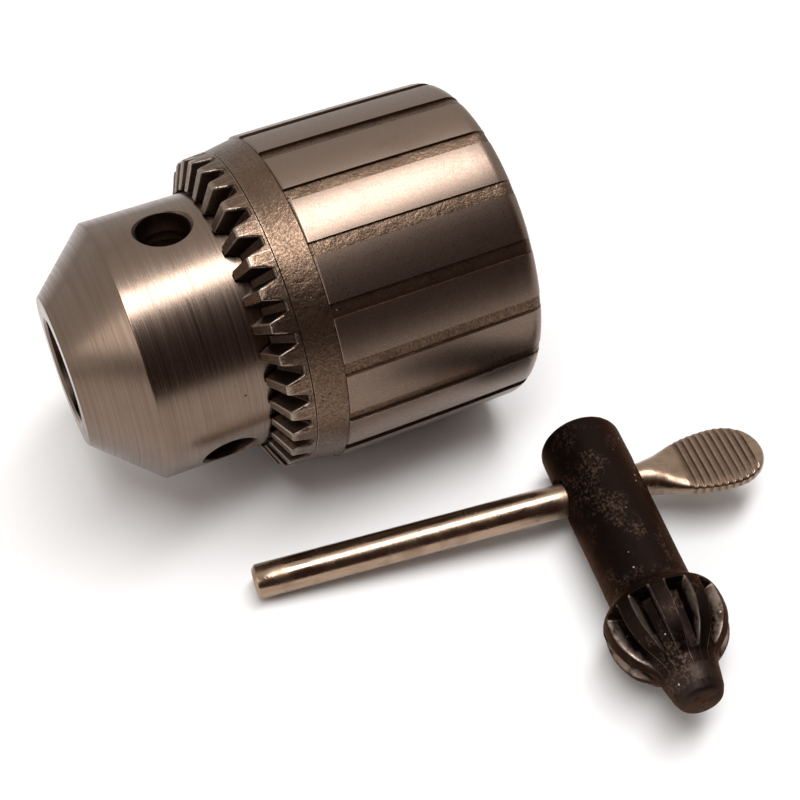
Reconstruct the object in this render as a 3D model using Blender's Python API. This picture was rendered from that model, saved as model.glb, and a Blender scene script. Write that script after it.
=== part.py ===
"""Keyed three-jaw drill chuck with its T-handle key.

The chuck lies on its side, its axis along X with the nose toward -X, and the key lies beside it.
Lengths are in millimetres in the tables below and are turned into metres by MM.
Chuck parts are modelled in the frame of the empty chuck_axis: x runs from the nose face to the rear.
Key parts are modelled in the frame of the empty key_axis: x runs from the shank's free end to the pilot.
"""

import math

import bmesh
import bpy
from mathutils import Matrix, Vector

MM = 0.001
GAP = 0.3

# ---- where things stand -------------------------------------------------------------------------
NOSE_X = -39.448          # nose face
AXIS_Y = 22.760           # chuck axis
AXIS_Z = 21.45          # chuck axis height, the sleeve's largest radius
KEY_TOP = (19.746, -3.429)  # free end of the key's shank, on the floor plan
KEY_AZIMUTH = -101.3    # way the key's pilot points, degrees from +X

# ---- body ---------------------------------------------------------------------------------------
NOSE_R = 9.5
CONE_END = 7.55
FRONT_R = 16.55
NUT_SLOT = (26.0, 34.0)
REAR_R = 19.1
BODY_LENGTH = 56.0
TOOL_BORE_R = 6.7
TOOL_BORE_DEPTH = 36.0
SOCKET_R = 6.35
SOCKET_DEPTH = 16.9
PILOT_HOLE_R = 3.25
PILOT_HOLE_X = 15.5
PILOT_HOLE_FLOOR_R = 9.2
PILOT_HOLE_ANGLES = (85.7, 205.7, 325.7)

# ---- jaws ---------------------------------------------------------------------------------------
JAW_ANGLES = (25.7, 145.7, 265.7)
JAW_SLOPE = 15.5        # degrees between a jaw and the chuck axis
JAW_APEX = -9.4         # x where the jaw axes meet
JAW_R = 3.6
JAW_BORE_R = 3.9
JAW_TIP_X = 14.8
JAW_REAR_X = 50.8
JAW_TRAVEL = 20.6
JAW_REAR_LIMIT_R = 18.6
GRIP_R_OPEN = 6.5
THREAD_PITCH = 2.0      # along a jaw's axis

# ---- nut ----------------------------------------------------------------------------------------
NUT_X = (26.3, 33.7)
NUT_R = 18.7
RIDGE_HEIGHT = 0.6
GROOVE_DEPTH = 0.9

# ---- sleeve -------------------------------------------------------------------------------------
TEETH = 32
TOOTH_PHASE = 125.28
GRIP_GROOVES = 18
GRIP_PHASE = 2.7
SLEEVE_FRONT_R = 16.85
SLEEVE_NUT_R = 19.0
SLEEVE_REAR_BORE_R = 19.4
SLEEVE_LENGTH_END = 55.5
LAND_R = 21.45
BAND_R = 20.5
GROOVE_R = 21.05
LINE_X = 24.95
STEP_X = 28.9

# ---- key ----------------------------------------------------------------------------------------
SHANK_R = 5.4
PINION_R = 7.32
PINION_START = 26.6
PINION_WIDEST = 30.4
PINION_END = 36.7
PINION_TEETH = 10
PINION_PHASE = 7.7
KEY_LENGTH = 41.3
HANDLE_AT = 8.75
HANDLE_R = 2.2
HANDLE_LONG_ARM = 45.4
HANDLE_SHORT_ARM = 21.7

TAN = math.tan(math.radians(JAW_SLOPE))
COS = math.cos(math.radians(JAW_SLOPE))
SIN = math.sin(math.radians(JAW_SLOPE))
AXIAL_PITCH = THREAD_PITCH * COS


def material(name, color, metallic, roughness):
    mat = bpy.data.materials.new(name)
    mat.use_nodes = True
    bsdf = mat.node_tree.nodes["Principled BSDF"]
    bsdf.inputs["Base Color"].default_value = (*color, 1.0)
    bsdf.inputs["Metallic"].default_value = metallic
    bsdf.inputs["Roughness"].default_value = roughness
    mat.diffuse_color = (*color, 1.0)
    return mat


def empty(name, matrix):
    obj = bpy.data.objects.new(name, None)
    bpy.context.scene.collection.objects.link(obj)
    obj.matrix_world = matrix
    return obj


def mesh_object(name, verts, faces, parent=None):
    """A mesh from points in millimetres, its faces turned outward."""
    mesh = bpy.data.meshes.new(name)
    mesh.from_pydata([(x * MM, y * MM, z * MM) for x, y, z in verts], [], faces)
    bm = bmesh.new()
    bm.from_mesh(mesh)
    bmesh.ops.recalc_face_normals(bm, faces=bm.faces)
    bm.to_mesh(mesh)
    bm.free()
    obj = bpy.data.objects.new(name, mesh)
    bpy.context.scene.collection.objects.link(obj)
    if parent is not None:
        obj.parent = parent
    return obj


def ring_point(x, r, degrees):
    a = math.radians(degrees)
    return (x, r * math.cos(a), r * math.sin(a))


def revolved(profile, segments, closed):
    """Verts and faces of a profile of (x, r) turned about x.

    A closed profile is a loop off the axis. An open one starts and ends on the axis.
    """
    verts = []
    rings = []
    for x, r in profile:
        if r < 1e-6:
            rings.append([len(verts)])
            verts.append((x, 0.0, 0.0))
        else:
            start = len(verts)
            rings.append(list(range(start, start + segments)))
            for i in range(segments):
                verts.append(ring_point(x, r, 360.0 * i / segments))
    faces = []
    count = len(profile)
    for k in range(count if closed else count - 1):
        a = rings[k]
        b = rings[(k + 1) % count]
        for i in range(segments):
            j = (i + 1) % segments
            if len(a) == 1:
                faces.append((a[0], b[j], b[i]))
            elif len(b) == 1:
                faces.append((a[i], a[j], b[0]))
            else:
                faces.append((a[i], a[j], b[j], b[i]))
    return verts, faces


def lofted(sections):
    """Verts and faces of a stack of equal-length loops, capped at both ends."""
    verts = []
    faces = []
    n = len(sections[0])
    for loop in sections:
        verts.extend(loop)
    for k in range(len(sections) - 1):
        for i in range(n):
            j = (i + 1) % n
            faces.append((k * n + i, k * n + j, (k + 1) * n + j, (k + 1) * n + i))
    faces.append(tuple(range(n - 1, -1, -1)))
    last = (len(sections) - 1) * n
    faces.append(tuple(range(last, last + n)))
    return verts, faces


def joined(pieces):
    verts = []
    faces = []
    for piece_verts, piece_faces in pieces:
        start = len(verts)
        verts.extend(piece_verts)
        faces.extend([tuple(i + start for i in f) for f in piece_faces])
    return verts, faces


def cut(obj, cutter_geometry):
    """Cuts the geometry out of the object and keeps the result as its mesh."""
    cutter = mesh_object(obj.name + "_cutter", *cutter_geometry)
    cutter.parent = obj.parent
    mod = obj.modifiers.new("cut", "BOOLEAN")
    mod.operation = "DIFFERENCE"
    mod.solver = "EXACT"
    mod.object = cutter
    bpy.context.view_layer.update()
    result = bpy.data.meshes.new_from_object(obj.evaluated_get(bpy.context.evaluated_depsgraph_get()))
    obj.modifiers.clear()
    obj.data = result
    bpy.data.objects.remove(cutter, do_unlink=True)


def finish(obj, mat):
    """Welds stray points and gives the object its material."""
    mesh = obj.data
    mesh.name = obj.name
    bm = bmesh.new()
    bm.from_mesh(mesh)
    bmesh.ops.remove_doubles(bm, verts=bm.verts, dist=0.00001)
    bmesh.ops.dissolve_degenerate(bm, edges=bm.edges, dist=0.00001)
    bmesh.ops.recalc_face_normals(bm, faces=bm.faces)
    bm.to_mesh(mesh)
    bm.free()
    mesh.materials.clear()
    mesh.materials.append(mat)


def placed(geometry, matrix):
    verts, faces = geometry
    return [tuple(matrix @ Vector(v)) for v in verts], faces


def spoke_matrix(x, degrees):
    """Local x radial outward at the angle, local z along the chuck axis."""
    a = math.radians(degrees)
    out = Vector((0.0, math.cos(a), math.sin(a)))
    along = Vector((1.0, 0.0, 0.0))
    side = along.cross(out)
    return Matrix((
        (out.x, side.x, along.x, x),
        (out.y, side.y, along.y, 0.0),
        (out.z, side.z, along.z, 0.0),
        (0.0, 0.0, 0.0, 1.0),
    ))


def jaw_matrix(degrees):
    """Local x along a jaw's axis toward the rear, local y outward, origin where the jaw axes meet."""
    a = math.radians(degrees)
    radial = Vector((0.0, math.cos(a), math.sin(a)))
    axial = Vector((1.0, 0.0, 0.0))
    along = axial * COS + radial * SIN
    outward = radial * COS - axial * SIN
    side = along.cross(outward)
    return Matrix((
        (along.x, outward.x, side.x, JAW_APEX),
        (along.y, outward.y, side.y, 0.0),
        (along.z, outward.z, side.z, 0.0),
        (0.0, 0.0, 0.0, 1.0),
    ))


def jaw_line_r(x):
    return (x - JAW_APEX) * TAN


# ---- the chuck ----------------------------------------------------------------------------------
def make_body(parent, mat):
    slot_floor = 2.6
    profile = [
        (0.0, TOOL_BORE_R + 0.3),
        (0.0, NOSE_R),
        (CONE_END, FRONT_R),
        (NUT_SLOT[0], FRONT_R),
        (NUT_SLOT[0], jaw_line_r(NUT_SLOT[0]) + slot_floor),
        (NUT_SLOT[1], jaw_line_r(NUT_SLOT[1]) + slot_floor),
        (NUT_SLOT[1], REAR_R),
        (BODY_LENGTH - 0.8, REAR_R),
        (BODY_LENGTH, REAR_R - 0.8),
        (BODY_LENGTH, SOCKET_R + 0.8),
        (BODY_LENGTH - 0.8, SOCKET_R),
        (BODY_LENGTH - SOCKET_DEPTH, SOCKET_R),
        (BODY_LENGTH - SOCKET_DEPTH - 1.0, 0.0),
    ]
    front = [
        (TOOL_BORE_DEPTH, 0.0),
        (TOOL_BORE_DEPTH, TOOL_BORE_R),
        (0.3, TOOL_BORE_R),
    ]
    obj = mesh_object("chuck_body", *revolved(front + profile, 72, False), parent)
    bores = []
    start = (0.9 - JAW_APEX) / COS
    end = (JAW_REAR_X + 1.2 - JAW_APEX) / COS
    for angle in JAW_ANGLES:
        rod = revolved([(start, 0.0), (start, JAW_BORE_R), (end, JAW_BORE_R), (end, 0.0)], 28, False)
        cut(obj, placed(rod, jaw_matrix(angle)))
    for angle in PILOT_HOLE_ANGLES:
        hole = revolved([
            (PILOT_HOLE_FLOOR_R - 1.2, 0.0),
            (PILOT_HOLE_FLOOR_R, PILOT_HOLE_R),
            (FRONT_R - 0.42, PILOT_HOLE_R),
            (FRONT_R + 0.6, PILOT_HOLE_R + 0.9),
            (FRONT_R + 2.0, PILOT_HOLE_R + 0.9),
            (FRONT_R + 2.0, 0.0),
        ], 28, False)
        bores.append(placed(hole, spoke_matrix(PILOT_HOLE_X, angle)))
    cut(obj, joined(bores))
    finish(obj, mat)
    return obj


def make_sleeve(parent, mat):
    profile = [
        (20.4, SLEEVE_FRONT_R + 0.3),
        (21.8, 20.05),
        (22.1, 20.3),
        (LINE_X - 0.15, BAND_R),
        (LINE_X, BAND_R - 0.15),
        (LINE_X + 0.15, BAND_R),
        (STEP_X, BAND_R + 0.65),
        (STEP_X + 0.15, LAND_R - 0.1),
        (STEP_X + 0.9, LAND_R),
        (53.2, LAND_R - 0.08),
        (54.3, LAND_R - 0.3),
        (55.1, LAND_R - 0.9),
        (SLEEVE_LENGTH_END, LAND_R - 1.5),
        (SLEEVE_LENGTH_END, SLEEVE_REAR_BORE_R),
        (33.6, SLEEVE_REAR_BORE_R),
        (33.6, SLEEVE_NUT_R),
        (26.0, SLEEVE_NUT_R),
        (26.0, SLEEVE_FRONT_R),
        (20.7, SLEEVE_FRONT_R),
    ]
    obj = mesh_object("gear_sleeve", *revolved(profile, 72, True), parent)
    gaps = []
    for i in range(TEETH):
        angle = TOOTH_PHASE + 360.0 * i / TEETH
        loops = []
        for r, mouth_x, root_x, mouth_half, root_half in (
                (15.8, 19.9, 21.45, 1.06, 0.44), (22.0, 22.6, 25.6, 1.49, 0.615)):
            loops.append([
                (r, -mouth_half, 19.0),
                (r, mouth_half, 19.0),
                (r, mouth_half, mouth_x),
                (r, root_half, root_x),
                (r, -root_half, root_x),
                (r, -mouth_half, mouth_x),
            ])
        gaps.append(placed(lofted(loops), spoke_matrix(0.0, angle)))
    cut(obj, joined(gaps))
    grooves = []
    for i in range(GRIP_GROOVES):
        angle = GRIP_PHASE + 360.0 * i / GRIP_GROOVES
        loops = []
        for x, floor in ((STEP_X - 0.5, GROOVE_R), (60.0, GROOVE_R)):
            loops.append([
                (floor, -0.86, x),
                (23.0, -0.98, x),
                (23.0, 0.98, x),
                (floor, 0.86, x),
            ])
        grooves.append(placed(lofted(loops), spoke_matrix(0.0, angle)))
    cut(obj, joined(grooves))
    finish(obj, mat)
    return obj


def ridge(u):
    """Thread height at a phase of 0 to 1, 0.5 on the crest."""
    d = abs(u - 0.5) * AXIAL_PITCH
    if d < 0.2:
        return RIDGE_HEIGHT
    if d > 0.46:
        return 0.0
    return RIDGE_HEIGHT * (0.46 - d) / 0.26


def make_nut_half(name, first, parent, mat):
    """Half of the ring, its bore a cone with a helical ridge that the jaws' teeth follow."""
    rows = 34
    columns = 30
    loops = []
    for c in range(columns + 1):
        angle = first + 0.6 + (180.0 - 1.2) * c / columns
        inner = []
        for k in range(rows + 1):
            x = NUT_X[0] + (NUT_X[1] - NUT_X[0]) * k / rows
            phase = (x / AXIAL_PITCH - angle / 360.0) % 1.0
            height = ridge(phase)
            if k == 0 or k == rows:
                height = 0.0
            inner.append(ring_point(x, jaw_line_r(x) + JAW_R / COS + 0.3 - height, angle))
        outer = [
            ring_point(NUT_X[1], NUT_R - 0.4, angle),
            ring_point(NUT_X[1] - 0.4, NUT_R, angle),
            ring_point(NUT_X[0] + 0.4, NUT_R, angle),
            ring_point(NUT_X[0], NUT_R - 0.4, angle),
        ]
        loops.append(inner + outer)
    obj = mesh_object(name, *lofted(loops), parent)
    finish(obj, mat)
    return obj


def make_jaw(name, angle, parent, mat):
    """A rod at an angle to the axis with three facets at the tip and teeth on its outer side."""
    tip = (JAW_TIP_X - 2.0 - JAW_APEX) / COS
    rear = (JAW_REAR_X - JAW_APEX) / COS - 1.0
    rod = revolved([
        (tip, 0.0), (tip, JAW_R), (rear - 0.5, JAW_R), (rear, JAW_R - 0.5), (rear, 0.0),
    ], 32, False)
    obj = mesh_object(name, *placed(rod, jaw_matrix(angle)), parent)
    a = math.radians(angle)
    radial = Vector((0.0, math.cos(a), math.sin(a)))
    axial = Vector((1.0, 0.0, 0.0))
    side = axial.cross(radial)
    close = -(axial * COS + radial * SIN) * JAW_TRAVEL
    half = GAP / 2.0
    planes = [(axial * JAW_TIP_X, -axial), (radial * JAW_REAR_LIMIT_R, radial)]
    planes.append((radial * GRIP_R_OPEN, -radial))
    for sign in (-1.0, 1.0):
        normal = side * (sign * math.cos(math.radians(60.0))) - radial * math.sin(math.radians(60.0))
        planes.append((-close - normal * half, normal))
    bm = bmesh.new()
    bm.from_mesh(obj.data)
    for point, normal in planes:
        geom = list(bm.verts) + list(bm.edges) + list(bm.faces)
        found = bmesh.ops.bisect_plane(
            bm, geom=geom, plane_co=point * MM, plane_no=normal, clear_outer=True, dist=1e-7)
        edges = [e for e in found["geom_cut"] if isinstance(e, bmesh.types.BMEdge)]
        bmesh.ops.edgeloop_fill(bm, edges=edges)
    bmesh.ops.recalc_face_normals(bm, faces=bm.faces)
    bm.to_mesh(obj.data)
    bm.free()
    teeth = []
    crest = (angle / 360.0 + 0.5) % 1.0
    first = (26.0 - 0.5) / AXIAL_PITCH
    k = math.ceil(first - crest)
    while (k + crest) * AXIAL_PITCH < JAW_REAR_X - 0.4:
        x = (k + crest) * AXIAL_PITCH
        outer = jaw_line_r(x) + JAW_R / COS
        loops = []
        for y in (-4.0, 4.0):
            loops.append([
                (outer - GROOVE_DEPTH, y, x - 0.42),
                (outer + 0.2 + 0.9, y, x - 0.95),
                (outer + 0.2 + 0.9, y, x + 0.95),
                (outer - GROOVE_DEPTH, y, x + 0.42),
            ])
        teeth.append(placed(lofted(loops), spoke_matrix(0.0, angle)))
        k += 1
    cut(obj, joined(teeth))
    finish(obj, mat)
    return obj


# ---- the key ------------------------------------------------------------------------------------
def make_key_body(parent, mat):
    profile = [
        (0.0, 0.0),
        (0.0, SHANK_R - 1.5),
        (0.3, SHANK_R - 0.7),
        (0.9, SHANK_R - 0.15),
        (1.6, SHANK_R),
        (9.0, SHANK_R),
        (21.0, SHANK_R - 0.2),
        (25.6, SHANK_R - 0.25),
        (PINION_START, SHANK_R - 0.1),
        (27.3, 5.8),
        (27.9, 6.55),
        (28.5, 7.05),
        (29.2, 7.25),
        (PINION_WIDEST, PINION_R),
        (31.8, 7.22),
        (32.8, 6.95),
        (34.0, 6.4),
        (34.9, 5.8),
        (35.6, 5.05),
        (36.2, 4.3),
        (PINION_END, 3.8),
        (37.1, 3.58),
        (38.6, 3.3),
        (KEY_LENGTH - 0.9, 3.0),
        (KEY_LENGTH - 0.2, 2.35),
        (KEY_LENGTH, 1.8),
        (KEY_LENGTH, 0.0),
    ]
    obj = mesh_object("key_body", *revolved(profile, 44, False), parent)
    gaps = []
    for i in range(PINION_TEETH):
        angle = PINION_PHASE + 360.0 * i / PINION_TEETH
        loops = []
        for x, floor in ((29.0, 6.4), (29.6, 5.15), (31.0, 4.9), (34.0, 4.6), (36.0, 4.2), (38.2, 3.5)):
            root_half = 0.62 + 0.05 * (floor - 3.75)
            slope = 0.30
            loops.append([
                (floor, -root_half, x),
                (8.5, -(root_half + slope * (8.5 - floor)), x),
                (8.5, root_half + slope * (8.5 - floor), x),
                (floor, root_half, x),
            ])
        gaps.append(placed(lofted(loops), spoke_matrix(0.0, angle)))
    cut(obj, joined(gaps))
    hole = revolved([(-8.0, 0.0), (-8.0, HANDLE_R + GAP), (8.0, HANDLE_R + GAP), (8.0, 0.0)], 24, False)
    turn = Matrix(((0, -1, 0, HANDLE_AT), (1, 0, 0, 0), (0, 0, 1, 0), (0, 0, 0, 1)))
    cut(obj, placed(hole, turn))
    finish(obj, mat)
    return obj


def handle_section(y, half_width, half_thick, squareness, n=24):
    """A rounded loop across the handle at y: width along x, thickness along z."""
    loop = []
    power = 2.0 / squareness
    for i in range(n):
        a = 2.0 * math.pi * i / n
        c = math.cos(a)
        s = math.sin(a)
        x = half_width * math.copysign(abs(c) ** power, c)
        z = half_thick * math.copysign(abs(s) ** power, s)
        loop.append((HANDLE_AT + x, y, z))
    return loop


def make_key_handle(parent, mat):
    """Round bar with a chamfered end, flattened into a serrated oval thumb grip at the other."""
    r = HANDLE_R
    loops = [
        handle_section(HANDLE_LONG_ARM, r - 0.45, r - 0.45, 2.0),
        handle_section(HANDLE_LONG_ARM - 0.45, r, r, 2.0),
        handle_section(0.0, r, r, 2.0),
        handle_section(-5.6, r, r, 2.0),
        handle_section(-6.6, r + 0.2, r - 0.05, 2.1),
        handle_section(-8.1, 2.75, 1.8, 2.4),
        handle_section(-9.4, 3.35, 1.35, 3.0),
    ]
    outline = ((10.7, 3.95), (12.0, 4.35), (13.4, 4.6), (15.0, 4.8), (16.2, 4.85), (17.5, 4.75), (18.5, 4.48), (19.5, 4.0), (20.2, 3.5))
    ribs = 10
    first = 10.7
    last = 20.2
    step = (last - first) / ribs
    for i in range(ribs * 2 + 1):
        y = first + step * i / 2.0
        width = outline[-1][1]
        for (y0, w0), (y1, w1) in zip(outline, outline[1:]):
            if y0 <= y <= y1:
                width = w0 + (w1 - w0) * (y - y0) / (y1 - y0)
        thick = 1.05 if i % 2 == 0 else 0.85
        loops.append(handle_section(-y, width, thick, 3.6))
    loops.append(handle_section(-(HANDLE_SHORT_ARM - 0.7), 2.65, 0.9, 3.2))
    loops.append(handle_section(-(HANDLE_SHORT_ARM - 0.3), 1.95, 0.75, 3.0))
    loops.append(handle_section(-HANDLE_SHORT_ARM, 0.9, 0.5, 2.5))
    obj = mesh_object("key_handle", *lofted(loops), parent)
    finish(obj, mat)
    return obj


def key_frame():
    """Rest pose of the key: pinion, shank end and the handle's long end all touch the floor."""
    tilt = math.asin((PINION_R - SHANK_R) / (PINION_WIDEST - 1.6))
    az = math.radians(KEY_AZIMUTH)
    along = Vector((math.cos(az) * math.cos(tilt), math.sin(az) * math.cos(tilt), math.sin(tilt)))
    level = Vector((0.0, 0.0, 1.0)).cross(along).normalized()
    up = along.cross(level)
    start_z = SHANK_R / math.cos(tilt) - 1.6 * math.sin(tilt) + 0.03
    cross_z = start_z + HANDLE_AT * math.sin(tilt)
    droop = math.asin((cross_z - HANDLE_R - 0.03) / (HANDLE_LONG_ARM - 0.45))
    toward_long = -level
    long_arm = toward_long * math.cos(droop) - up * math.sin(droop)
    third = along.cross(long_arm)
    return Matrix((
        (along.x, long_arm.x, third.x, KEY_TOP[0] * MM),
        (along.y, long_arm.y, third.y, KEY_TOP[1] * MM),
        (along.z, long_arm.z, third.z, start_z * MM),
        (0.0, 0.0, 0.0, 1.0),
    ))


def build():
    for obj in list(bpy.data.objects):
        bpy.data.objects.remove(obj, do_unlink=True)

    turned = material("turned_steel", (0.50, 0.42, 0.36), 1.0, 0.32)
    ground = material("ground_steel", (0.44, 0.36, 0.30), 1.0, 0.38)
    hardened = material("hardened_steel", (0.30, 0.26, 0.24), 1.0, 0.40)
    hardened_b = material("hardened_steel_b", (0.28, 0.25, 0.23), 1.0, 0.42)
    jaw_steel = [
        material("jaw_steel_1", (0.34, 0.30, 0.27), 1.0, 0.35),
        material("jaw_steel_2", (0.33, 0.30, 0.27), 1.0, 0.36),
        material("jaw_steel_3", (0.33, 0.29, 0.27), 1.0, 0.37),
    ]
    oxide = material("black_oxide_steel", (0.035, 0.026, 0.022), 0.7, 0.50)
    plated = material("nickel_plated_steel", (0.58, 0.46, 0.36), 1.0, 0.25)

    chuck = empty("chuck_axis", Matrix.Translation((NOSE_X * MM, AXIS_Y * MM, AXIS_Z * MM)))
    key = empty("key_axis", key_frame())

    make_body(chuck, turned)
    make_sleeve(chuck, ground)
    make_nut_half("nut_half_a", 85.7, chuck, hardened)
    make_nut_half("nut_half_b", 265.7, chuck, hardened_b)
    for i in range(3):
        make_jaw("jaw_%d" % (i + 1), JAW_ANGLES[i], chuck, jaw_steel[i])
    make_key_body(key, oxide)
    make_key_handle(key, plated)


build()
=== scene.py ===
"""Looks of the keyed drill chuck and its key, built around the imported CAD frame.

Sizes and tables are in millimetres, and angles in degrees from +Y toward +Z about the x axis.
Chuck pieces use a frame on the chuck's axis, x from the nose face to the rear.
Key pieces use a frame on the shank's axis, x from the free end to the pilot.
Lights, camera and shader scales are in metres.
"""
import math

import bmesh
import bpy
import numpy as np
from mathutils import Matrix, Vector


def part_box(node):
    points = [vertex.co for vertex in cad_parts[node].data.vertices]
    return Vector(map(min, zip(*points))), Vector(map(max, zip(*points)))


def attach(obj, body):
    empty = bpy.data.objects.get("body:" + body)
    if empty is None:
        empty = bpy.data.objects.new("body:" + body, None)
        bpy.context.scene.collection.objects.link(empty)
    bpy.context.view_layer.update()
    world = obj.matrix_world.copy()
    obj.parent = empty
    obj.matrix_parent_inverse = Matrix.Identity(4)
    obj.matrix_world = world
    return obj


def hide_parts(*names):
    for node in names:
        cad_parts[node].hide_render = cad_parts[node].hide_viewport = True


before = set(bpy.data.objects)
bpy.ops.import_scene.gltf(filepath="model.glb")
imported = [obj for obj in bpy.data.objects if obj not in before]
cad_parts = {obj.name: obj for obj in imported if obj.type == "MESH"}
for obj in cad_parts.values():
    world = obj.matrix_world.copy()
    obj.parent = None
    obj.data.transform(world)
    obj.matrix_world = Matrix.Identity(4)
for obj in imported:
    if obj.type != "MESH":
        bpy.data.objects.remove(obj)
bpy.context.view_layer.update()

MM = 0.001
TAU = 2.0 * math.pi
AXIAL = Vector((1.0, 0.0, 0.0))
# Least cosine between a face's own normal and the true one that replaces it.
SAME_SIDE = 0.985

# ---- sizes, the driving ones shared with the CAD ------------------------------------------------
BODY_LOW, BODY_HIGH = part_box("chuck_body")
NOSE = Vector((BODY_LOW.x, (BODY_LOW.y + BODY_HIGH.y) / 2.0, (BODY_LOW.z + BODY_HIGH.z) / 2.0))
CHUCK = Matrix.Translation(NOSE)
NOSE_R = 9.5
CONE_END = 7.55
FRONT_R = 16.55
NUT_SLOT = (26.0, 34.0)
REAR_R = 19.1
BODY_LENGTH = 56.0
TOOL_BORE_R = 6.7
TOOL_BORE_DEPTH = 36.0
SOCKET_R = 6.35
SOCKET_DEPTH = 16.9
PILOT_HOLE_R = 3.25
PILOT_HOLE_X = 15.5
PILOT_HOLE_FLOOR_R = 9.2
PILOT_HOLE_ANGLES = (85.7, 205.7, 325.7)
JAW_ANGLES = (25.7, 145.7, 265.7)
JAW_SLOPE = math.radians(15.5)
JAW_APEX = -9.4
JAW_R = 3.6
JAW_BORE_R = 3.9
JAW_TIP_X = 14.8
JAW_REAR_X = 50.8
JAW_TRAVEL = 20.6
JAW_REAR_LIMIT_R = 18.6
GRIP_R_OPEN = 6.5
THREAD_PITCH = 2.0
AXIAL_PITCH = THREAD_PITCH * math.cos(JAW_SLOPE)

TEETH = 32
TOOTH_PHASE = 125.28
TOOTH_ROOT_HALF = 1.6
TOOTH_MOUTH_HALF = 3.8
TOOTH_TIP_X = 20.45
TOOTH_TIP_SLOPE = 0.435
TOOTH_ROOT_X = 22.15
TOOTH_ROOT_SLOPE = 0.671
TOOTH_TOP_R = 20.02
GRIP_GROOVES = 18
GRIP_PHASE = 2.7
GROOVE_HALF = 2.46
GROOVE_WALL = 0.16
GROOVE_R = 21.05
SLEEVE_BORE_R = 16.85
SLEEVE_THROAT_X = 23.4
NUT_SEAT_X = (26.0, 33.6)
NUT_SEAT_R = 19.0
SLEEVE_REAR_BORE_R = 19.4
LINE_X = 24.95
BAND_X = 25.14
BAND_R = 20.5
BAND_RISE = 0.65
STEP_X = 28.9
LAND_R = 21.45
LAND_MIDDLE = 41.0
REAR_ROLL_X = 53.5
SLEEVE_END = 55.5

SHANK_R = 5.4
PINION_R = 7.32
PINION_WIDEST = 30.4
PINION_TEETH = 10
PINION_PHASE = 7.7
KEY_LENGTH = 41.3
KEY_TOP = (19.746, -3.429)
KEY_AZIMUTH = -101.3
HANDLE_AT = 8.75
HANDLE_R = 2.2
HANDLE_LONG_ARM = 45.4
HANDLE_SHORT_ARM = 21.7
RIBS = (10.55, 20.0)
RIB_PITCH = 0.95
SECTION_POINTS = 64


# ---- materials ----------------------------------------------------------------------------------
class Shader:
    """A Principled material with short calls for its nodes."""

    def __init__(self, name, color, metallic, roughness, **sockets):
        self.mat = bpy.data.materials.new(name)
        self.mat.use_nodes = True
        self.tree = self.mat.node_tree
        self.bsdf = self.tree.nodes["Principled BSDF"]
        self.bsdf.inputs["Base Color"].default_value = (*color, 1.0)
        self.bsdf.inputs["Metallic"].default_value = metallic
        self.bsdf.inputs["Roughness"].default_value = roughness
        for key, value in sockets.items():
            self.bsdf.inputs[key.replace("_", " ")].default_value = value

    def node(self, kind, values=None, **settings):
        made = self.tree.nodes.new(kind)
        for key, value in settings.items():
            setattr(made, key, value)
        for key, value in (values or {}).items():
            if isinstance(value, bpy.types.NodeSocket):
                self.tree.links.new(value, made.inputs[key])
            else:
                made.inputs[key].default_value = value
        return made

    def place(self):
        """The point in the piece's own frame, in metres."""
        return self.node("ShaderNodeTexCoord").outputs["Object"]

    def scaled(self, vector, scale):
        values = {0: vector, 1: scale}
        return self.node("ShaderNodeVectorMath", values, operation="MULTIPLY").outputs[0]

    def noise(self, vector, scale=1.0, detail=2.0, rough=0.5, warp=0.0):
        values = {"Vector": vector, "Scale": scale, "Detail": detail, "Roughness": rough}
        values["Distortion"] = warp
        return self.node("ShaderNodeTexNoise", values).outputs["Fac"]

    def cells(self, vector, scale):
        values = {"Vector": vector, "Scale": scale}
        return self.node("ShaderNodeTexVoronoi", values).outputs["Distance"]

    def ramp(self, value, low, high, to_low=0.0, to_high=1.0, smooth=True):
        """The value between low and high spread over to_low to to_high."""
        values = {"Value": value, "From Min": low, "From Max": high, "To Min": to_low, "To Max": to_high}
        kind = "SMOOTHSTEP" if smooth else "LINEAR"
        made = self.node("ShaderNodeMapRange", values, interpolation_type=kind)
        return made.outputs["Result"]

    def math(self, operation, a, b=0.0):
        return self.node("ShaderNodeMath", {0: a, 1: b}, operation=operation).outputs[0]

    def mix(self, factor, a, b):
        made = self.node("ShaderNodeMix", data_type="RGBA")
        for key, value in ((0, factor), (6, a), (7, b)):
            if isinstance(value, bpy.types.NodeSocket):
                self.tree.links.new(value, made.inputs[key])
            elif key == 0:
                made.inputs[key].default_value = value
            else:
                made.inputs[key].default_value = (*value, 1.0)
        return made.outputs[2]

    def attribute(self, name):
        return self.node("ShaderNodeAttribute", attribute_name=name).outputs["Fac"]

    def bump(self, height, distance):
        values = {"Height": height, "Distance": distance, "Strength": 1.0}
        return self.node("ShaderNodeBump", values).outputs["Normal"]

    def link(self, output, socket):
        self.tree.links.new(output, self.bsdf.inputs[socket])

    def tangent_about_x(self):
        made = self.node("ShaderNodeTangent", direction_type="RADIAL", axis="X")
        self.link(made.outputs["Tangent"], "Tangent")


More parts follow.
